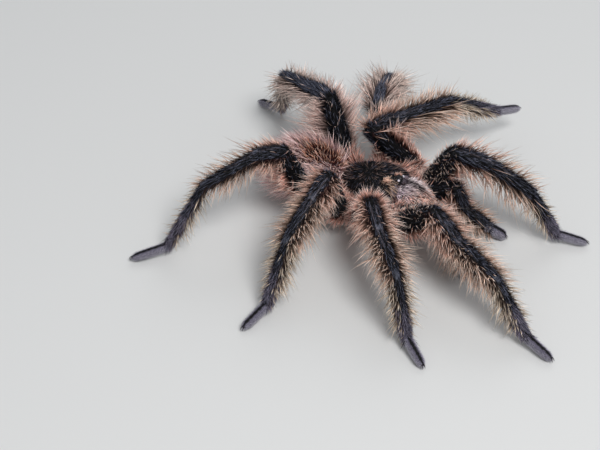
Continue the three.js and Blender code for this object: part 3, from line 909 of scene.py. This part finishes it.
def add_limb_hair(coat):
    leg = lambda s: s.is_(*LEG[:4]) * 1.0
    heel = lambda s: np.where(s.is_("metatarsus"), 1 - 0.8 * smooth(0.7, 0.95, s.along), 1)
    pale = lambda s: leg(s) * (1 - 0.98 * stripe(s)) * heel(s)
    scattered = lambda s: np.where(s.on("leg_right_1", "leg_left_1"), 0.55, 0.12)
    sparse = lambda s: np.where(s.on("leg_right_4", "leg_left_1") & ~s.is_("femur"), 0.55, 1)
    # Longer fringes, where the extra length of the thigh's fades before its knee.
    longer = lambda s: [
        s.on("leg_left_4") & s.is_("femur"),
        s.on("leg_left_1", "leg_left_2", "leg_left_3") & s.is_("patella", "tibia"),
    ]
    fringe = lambda s: np.select(longer(s), [1.8 - 0.8 * smooth(0.55, 0.9, s.along), 1.35], 1)
    # The black pile of the stripe, lying along the limb.
    coat.layer(
        lambda s: 13 * leg(s) * stripe(s) * (1 - 0.75 * joint_patch(s)) * (1 - 0.5 * bald_lines(s)),
        lambda s: 0.8 + 0.4 * coat_depth(s).clip(0, 1.4),
        66, BLACK, BLUE_BLACK * 1.3, 0.075, steps=1, spread=0.2,
    )
    # Slate glints among it, in strands along the limb.
    coat.layer(
        lambda s: 7 * leg(s) * stripe(s) * np.sin(s.angle / 7 + 9 * s.along) ** 4
        * np.where(s.is_("femur"), 0.25, 1)
        * np.where(s.on(*LEFT_REAR) & s.is_("patella", "tibia"), 4, 1),
        2.4, 74, BLUE_BLACK, STEEL, 0.06, spread=0.07, middle=SLATE * 0.8, mottle=0.4,
    )
    # Dark hair that splays off the stripe's edges.
    coat.layer(
        lambda s: 3.5 * leg(s) * (4 * stripe(s) * (1 - stripe(s))),
        2.2, 58, BLACK, BLUE_BLACK, 0.06, spread=0.15,
    )
    # Pale bristles scattered over the black of the thigh, and a fan of them at the knee.
    coat.layer(
        lambda s: s.is_("femur") * stripe(s) * scattered(s),
        3.0, 40, UMBER, "fff0e6", 0.09, spread=0.2, middle="dcc0b2", mottle=0.35,
    )
    coat.layer(
        lambda s: s.is_("femur") * stripe(s) * smooth(0.78, 0.9, s.along)
        * np.where(s.on("leg_right_2"), 4, 0.1),
        3.8, 8, limb_root, limb_tip, 0.1, spread=0.2, middle=limb_middle, mottle=0.3,
    )
    # The long bristles of the sides and the underside.
    coat.layer(
        lambda s: pale(s) * sparse(s)
        * by_piece(s, 3.4, 2.3, 2.0, 1.7)
        * np.where(s.on(*LEFT_REAR) & s.is_("femur"), 2.0, 1),
        lambda s: (coat_depth(s) + 0.9) * fringe(s),
        28, limb_root, limb_tip, 0.122, middle=limb_middle, curl=0.35, vary=0.26, spread=0.16, mottle=0.3,
    )
    # Shorter, finer and darker hair among them.
    coat.layer(
        lambda s: pale(s) * 2.0 * sparse(s),
        lambda s: coat_depth(s) * 0.7 + 0.6,
        32, lambda s: limb_root(s) * 0.6, lambda s: limb_middle(s) * 0.85, 0.075,
        steps=1, curl=0.35, vary=0.3, spread=0.22, mottle=0.4,
    )
    # The dark under-hair that shows between them, also painted shade in the depths of the coat.
    coat.layer(
        lambda s: 6 * leg(s) * sparse(s) * (1 - stripe(s)),
        lambda s: 0.25 * coat_depth(s) + 0.5,
        46, lambda s: limb_root(s) * 0.3, lambda s: limb_root(s) * 0.8, 0.06, steps=1,
    )
    # Grey-lilac hair that lies over the end of the shank towards the foot.
    coat.layer(
        lambda s: 9 * s.is_("metatarsus") * smooth(0.3, 0.8, s.along + 0.2 * s.on(*HIND)),
        1.9, 66, "302b36", "b0aaba", 0.065, spread=0.12, middle="7c7486", mottle=0.35,
    )
    # Feet: a black line along the back, dusky hair beside it and dense lilac pads.
    coat.layer(
        lambda s: 30 * s.is_("tarsus") * fade(30, 60, np.abs(s.angle - 90)),
        0.7, 70, foot_colour("6c6778"), foot_colour("b7b2c5"), 0.055, steps=1,
    )
    coat.layer(
        lambda s: 42 * s.is_("tarsus") * smooth(30, 60, np.abs(s.angle - 90)),
        lambda s: 0.55 + 0.3 * coat_depth(s).clip(0, 1.6),
        30, "85818f", "e2deea", 0.05, steps=1, spread=0.1, floor=0.02,
    )
    # The spur's short bristles.
    coat.layer(lambda s: 9 * s.is_("spur"), 0.8, 55, BLACK, BLUE_BLACK, 0.05, steps=1)


for seed, limb in enumerate(STANCE, 11):
    coat = Coat(limb, "leg_fur", seed)
    add_limb_hair(coat)
    coat.build()


# The carapace, the eye mound and the jaws.
def shield(s, low, high):
    """The carapace above a height, with a soft step between two heights."""
    return s.is_("carapace") * smooth(low, high, s.z)


def edge(s):
    """How near to the carapace's rim a spot is."""
    return s.is_("carapace") * fade(12.4, 13.8, s.z)


head = Coat("head", "carapace_velvet", 31)
# Black velvet, slate-tipped strands in it that paint its sheen, a few pale bristles, and more of them at
# the rim.
head.layer(lambda s: 24 * shield(s, 11.5, 12.5), 0.8, 64, BLACK, BLUE_BLACK, 0.07, steps=1, spread=0.3)
# Painted sheen: bands of slate-tipped hair stand for the steel-grey highlight on the velvet.
head.layer(
    lambda s: 3 * shield(s, 13, 14) * np.sin(s.x * 1.3 + 1) ** 2,
    1.9, 72, BLACK, SLATE, 0.06, spread=0.3, mottle=0.3,
)
head.layer(
    lambda s: 0.7 * shield(s, 12, 13),
    2.6, 50, BLACK, "e0c4b8", 0.08, middle="6d5550", mottle=0.4, spread=0.3,
)
head.layer(
    lambda s: 7 * edge(s) * smooth(-9.5, -6, s.y),
    3.6, 36, "3a1c18", "fbe2d8", 0.09, middle="d9a798", curl=0.2, mottle=0.35,
)


# The jaws: a pale line along the outside of each, partly hair and partly a painted highlight, painted grey
# shade in the cleft inside it, darker on the far left jaw, lilac near the face, rosy towards the tip and
# rusty low down.
def jaw_tint_and_cleft_shade(s):
    out = np.abs(s.x)
    low = fade(-10, 35, np.where(s.angle > 90, 180 - s.angle, s.angle))
    painted_cleft_shade = np.exp(-(((out - 1.9) / 1.1) ** 4))
    painted_cleft_shade = painted_cleft_shade * smooth(0.1, 0.2, s.along) * fade(0.5, 0.72, s.along)
    base = blend("dccbd6", "e2ad99", smooth(0.3, 0.6, s.along))
    base = blend(base, blend("b2604a", "cdb6a4", smooth(0.2, 0.45, s.along)), 0.8 * low)
    base = blend(base, "ecd9df", fade(0.08, 0.18, s.along))
    # Painted shade: grey in the cleft between the jaws, stronger on the far left jaw.
    return blend(base, "564c55", painted_cleft_shade * np.where(s.x > 0, 0.95, 0.55))


def pale_crest_and_highlight(s):
    """How near the pale line along the outside of a jaw is: pale hair, which on the far left jaw also
    paints a highlight along its edge.
    """
    return bell(np.abs(s.x) - 3.1, 0.5) * (s.angle > 20) * (s.angle < 160)


def jaw_shade(share):
    return lambda s: jaw_tint_and_cleft_shade(s) * share


head.layer(
    lambda s: 20 * s.is_("jaw"),
    1.2, 62, jaw_shade(0.08), jaw_shade(0.55), 0.06, steps=1, spread=0.16, mottle=0.35,
)
head.layer(
    lambda s: 5.2 * s.is_("jaw"),
    2.6, 58, jaw_shade(0.3), "fff2ee", 0.105, middle=jaw_shade(1.2), curl=0.15, spread=0.12, mottle=0.5,
)
# Painted highlight, in part: the crest's pale hair is denser on the far left jaw, where it stands for light
# along the edge.
head.layer(
    lambda s: s.is_("jaw") * pale_crest_and_highlight(s) * np.where(s.x > 0, 20, 6),
    2.1, 58, LILAC, "fff6f6", 0.08, spread=0.06, middle="f8e8e8",
)
head.layer(
    lambda s: 6 * s.is_("jaw") * (s.along > 0.75),
    2.4, 44, "6b3a30", "f2c8b2", 0.08, spread=0.15, mottle=0.3,
)


def near_spot(s, x, y, across):
    """How near the top of the head is to a place on it."""
    return bell(np.hypot(s.x - x, s.y - y), across) * s.is_("carapace", "mound")


def mound_rim(s):
    """How near the left edge of the eye mound is."""
    x, y = s.x, s.y - MOUND[1]
    ring = bell(np.hypot(x, y) - 1.25, 0.28)
    return ring * smooth(-0.2, 0.4, x) * smooth(-0.5, 0.1, y) * s.is_("carapace", "mound")


def face(s):
    """The front of the carapace, below the eyes."""
    return s.is_("carapace") * fade(-9.4, -8.4, s.y) * fade(4, 6, np.abs(s.x))


# Lilac hair on the face, a beige tuft behind the mound on the right, short hair along the
# mound's left edge, and pale hair at the carapace's right front corner.
head.layer(lambda s: 16 * face(s), 1.5, 60, "3a343e", "c4b4c2", 0.065, spread=0.15, mottle=0.3)
head.layer(
    lambda s: 40 * near_spot(s, -3.1, -6.4, 1.0),
    1.9, 30, "b98570", "fff2e6", 0.09, curl=0.1, spread=0.12, mottle=0.2, middle="f6c6a9",
)
head.layer(
    lambda s: 30 * mound_rim(s),
    1.3, 14, "8a5a4e", "ffe6da", 0.08, curl=0.1, spread=0.1, mottle=0.2, middle="eab49e",
)
head.layer(
    lambda s: 8 * near_spot(s, -4.4, -8.4, 1.5),
    2.4, 48, "2a1d18", "ffeada", 0.09, spread=0.14, mottle=0.35, middle="cdaa92",
)
head.build(velvet_material)

# The abdomen and its spinnerets: long pink hair and shorter hair among it, rusty bristles
# over the dark patch, the under-hair, and the spinnerets' down.
belly = Coat("abdomen", "abdomen_fur", 41)
by_thigh = lambda s: fade(55, 80, np.abs(s.angle)) * fade(0.25, 0.42, s.along)
belly.layer(
    lambda s: 3.6 * s.is_("abdomen") * (1 - abdomen_saddle(s)) * (1 - 0.85 * by_thigh(s)),
    6.2, 42, "7c5256", "fff0ee", 0.115, middle="ecc6c2", curl=0.35, spread=0.18, mottle=0.3,
)
belly.layer(
    lambda s: 5 * s.is_("abdomen") * (1 - abdomen_saddle(s)),
    3.6, 50, "6c464a", "e0b8b6", 0.08, steps=1, spread=0.2, mottle=0.35,
)
belly.layer(
    lambda s: 2.4 * abdomen_saddle(s),
    3.4, 20, "2a0b0a", "ffe9d8", 0.085, middle="cf9076", curl=0.3, spread=0.2, mottle=0.5,
)
belly.layer(
    lambda s: 9 * s.is_("abdomen"),
    1.8, 56, lambda s: blend("7c5a60", "0e0506", abdomen_saddle(s)),
    lambda s: blend("c39ca0", "471a20", abdomen_saddle(s)), 0.07, steps=1, spread=0.2, mottle=0.3,
)
belly.layer(lambda s: 16 * s.is_("spinneret"), 1.1, 58, "3a2f30", "8a7672", 0.045, steps=1)
belly.build()

# The hips and the breastplate.
under = Coat("underside", "underside_fur", 51)
under.layer(
    lambda s: 3.2 * s.is_("hip"),
    4.2, 38, "3a1b17", "ffe9e0", 0.11, middle="e2a897", spread=0.18, mottle=0.35,
)
under.layer(lambda s: 7 * s.is_("hip", "sternum"), 1.5, 58, "33201e", "8a5a4c", 0.06, steps=1)
under.layer(lambda s: 3 * s.is_("sternum"), 2.6, 45, "3a2422", ORANGE * 0.8, 0.05)
under.build()

# ---- eyes, fangs, claws


def ball(centre, radius, rings, segments):
    """The points and faces of a smooth ball."""
    around = np.linspace(0, 2 * math.pi, segments, endpoint=False)
    turn, tilt = np.meshgrid(around, np.linspace(0, math.pi, rings + 1)[1:-1])
    points = np.stack([np.cos(turn) * np.sin(tilt), np.sin(turn) * np.sin(tilt), np.cos(tilt)], -1)
    points = np.concatenate([points.reshape(-1, 3), [[0, 0, 1], [0, 0, -1]]])
    top, bottom, last = len(points) - 2, len(points) - 1, (rings - 2) * segments
    faces = []
    for i in range(rings - 2):
        for k in range(segments):
            a, b = i * segments + k, i * segments + (k + 1) % segments
            faces.append((a, a + segments, b + segments, b))
    for k in range(segments):
        b = (k + 1) % segments
        faces += [(top, k, b), (bottom, last + b, last + k)]
    return points * radius + centre, faces


SIDES = ((1, "left"), (-1, "right"))
# The eyes: aside from the mound's middle, behind it, above the carapace's top, radius.
MAIN_EYE = (0.62, -0.97, 0.55, 0.47)
SMALL_EYES = [(1.3, 0.75, 0.5, 0.34), (0.82, 0.35, 0.95, 0.26)]
PEARLY_GLINT_EYE = (1.46, -0.95, 0.3, 0.45)


def eye_ball(side, eye, rings=12, segments=18):
    x, y, z, radius = eye
    return ball((side * x, MOUND[1] + y, CARAPACE_TOP + z), radius, rings, segments)


lens = surface("eye lens", 0.06, 0.6, colour=rgb("08070a"), grain=1500)
fill(lens.node_tree.nodes["Principled BSDF"], {"Coat Weight": 1.0, "Coat Roughness": 0.03})
for side, name in SIDES:
    made = solid(f"eye_lens_{name}", [eye_ball(side, MAIN_EYE, 16, 24)], lens)
    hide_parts(f"eye_{name}")
small = [eye_ball(side, eye) for side in (1, -1) for eye in SMALL_EYES]
solid("eyes_small", small, lens)
# Pale lateral eyes, larger than the small ones and placed so that the near one paints a white glint on the
# mound: partly their own pearly colour, partly a painted highlight.
pearl_glint = surface("pearly eye and painted glint", 0.1, 0.6, colour=rgb("e6e0ea"), grain=1500)
solid("eyes_pearly_glint", [eye_ball(side, PEARLY_GLINT_EYE) for side in (1, -1)], pearl_glint)

horn_material = surface("dark horn", 0.22, 0.5, colour=rgb("1c1113"), grain=1200, bump=0.2)


def hook(path, wide, tip, count=12):
    """The surface of a smooth tapering hook along a curve."""
    tapering = lambda along: (mix(wide, tip, along**1.3),) * 3
    return Part("hook", "hook", path, (0.3, 0.1, 1), tapering, 14, count).loft()


for side, name in SIDES:
    x = side * FANG_ASIDE
    knots = np.array([[x, -19.6, 6.2], [x, -19.2, 3.1], [x * 0.8, -14.8, 2.8]])
    made = solid(f"fang_horn_{name}", [hook(bezier(*knots, 12), 0.95, 0.16)], horn_material)
    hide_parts(f"fang_{name}")

claws = []
for stance in STANCE.values():
    _, joints, axes = pose_limb(*stance)
    axis, end = axes[-1], joints[-1]
    across = unit(np.cross(axis, UP))
    for aside in (-0.42, 0.42):
        root = end - axis * 0.5 + across * aside + UP * 0.35
        path = bezier(root, root + axis * 0.95 + UP * 0.35, root + axis * 1.25 - UP * 0.75, 8)
        claws.append(hook(path, 0.17, 0.05, 8))
solid("claws", claws, horn_material)

# ---- floor, light and camera

plane = bpy.data.meshes.new("floor")
FLOOR = 2  # metres from its middle to each edge
corners = [(-FLOOR, -FLOOR, 0), (FLOOR, -FLOOR, 0), (FLOOR, FLOOR, 0), (-FLOOR, FLOOR, 0)]
plane.from_pydata(corners, [], [(0, 1, 2, 3)])
plane.materials.append(surface("pale floor", 0.9, 0.1, colour=(0.74, 0.74, 0.73)))
floor = add("floor", plane)

world = bpy.data.worlds.new("studio")
world.use_nodes = True
fill(world.node_tree.nodes["Background"], {"Color": (0.93, 0.96, 1.0, 1), "Strength": 0.36})
bpy.context.scene.world = world


def lamp(name, place, size, power, colour=(1, 1, 1)):
    data = bpy.data.lights.new(name, "AREA")
    data.size, data.energy, data.color = size, power, colour
    made = add(name, data)
    made.location = place
    made.rotation_euler = (-Vector(place)).to_track_quat("-Z", "Y").to_euler()


lamp("key", (-0.35, -0.55, 0.9), 0.4, 8.0)
lamp("fill", (0.7, 0.3, 0.7), 0.6, 1.5, (0.95, 0.97, 1))

# The photo's camera, placed from the point it looks at: its bearing and height over that
# point in degrees, its distance in millimetres, and the point in the spider's frame.
AZIMUTH, ELEVATION, DISTANCE = -55.13, 39.06, 494.24
LOOKS_AT = np.array([-36.46, 5.83, 15.0])
LENS, SENSOR_WIDTH = 90, 36
back, right = Vector(toward(1, AZIMUTH, ELEVATION)), Vector(toward(1, AZIMUTH + 90, 0))
above = back.cross(right)
camera = add("camera", bpy.data.cameras.new("camera"))
camera.data.lens = LENS
camera.data.sensor_width = SENSOR_WIDTH
camera.data.clip_start, camera.data.clip_end = 0.01, 10
turn = Matrix((right, above, back)).transposed().to_4x4()
aim = Vector(LOOKS_AT * MM + SHIFT)
camera.matrix_world = Matrix.Translation(aim + back * DISTANCE * MM) @ turn
bpy.context.scene.camera = camera
bpy.context.scene.view_settings.view_transform = "Standard"
